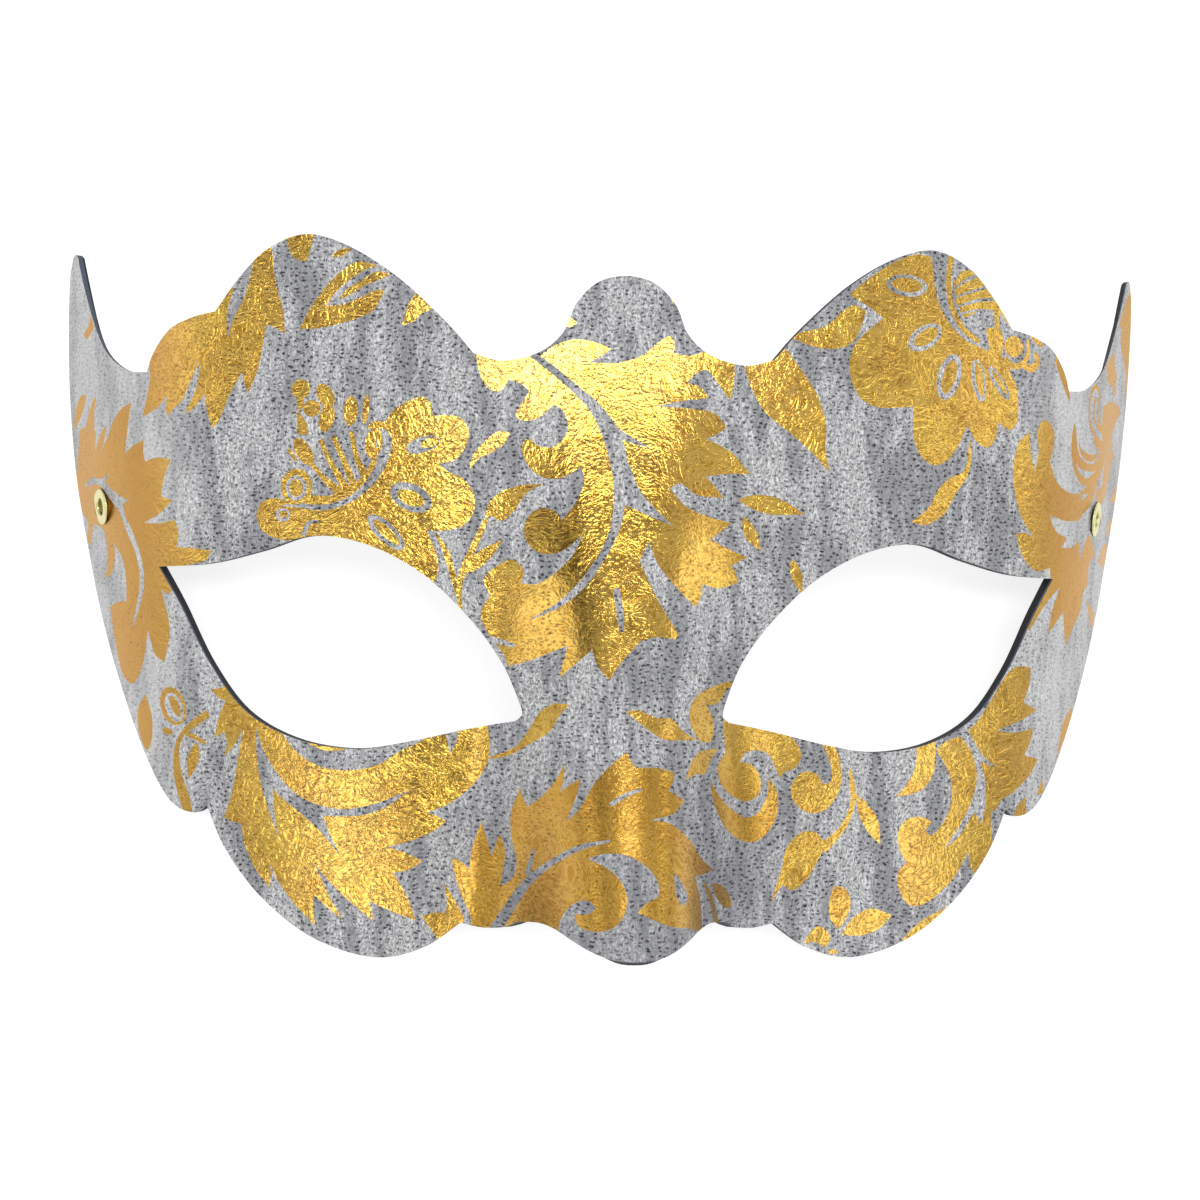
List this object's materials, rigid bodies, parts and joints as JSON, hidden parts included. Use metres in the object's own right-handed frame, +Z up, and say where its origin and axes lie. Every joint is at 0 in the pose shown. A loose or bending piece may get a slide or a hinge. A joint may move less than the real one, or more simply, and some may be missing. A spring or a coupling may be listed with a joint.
{
  "type": "masquerade half mask",
  "caption": "Half mask for a masquerade: a thin curved shell over brow, eyes and nose, covered in printed cloth, with eye holes and ribbon eyelets at its sides.",
  "frame": {"origin": "centre of the box that the lying mask fills, on the surface that it lies on", "axes": "+Z up from that surface and out of the mask's front, +Y towards the forehead, +X to the right as one looks at the front"},
  "size_m": [0.1708, 0.1128, 0.0409],
  "materials": {
    "printed_cloth": "matt pale grey knitted cloth with a flat printed foliage pattern in gold foil",
    "black_base": "black, matt, slightly fibrous",
    "eyelet_brass": "pale polished brass"
  },
  "bodies": {
    "root": {"face_cloth": "printed_cloth", "base_shell": "black_base", "eyelet_left": "eyelet_brass", "eyelet_right": "eyelet_brass"}
  },
  "joints": []
}
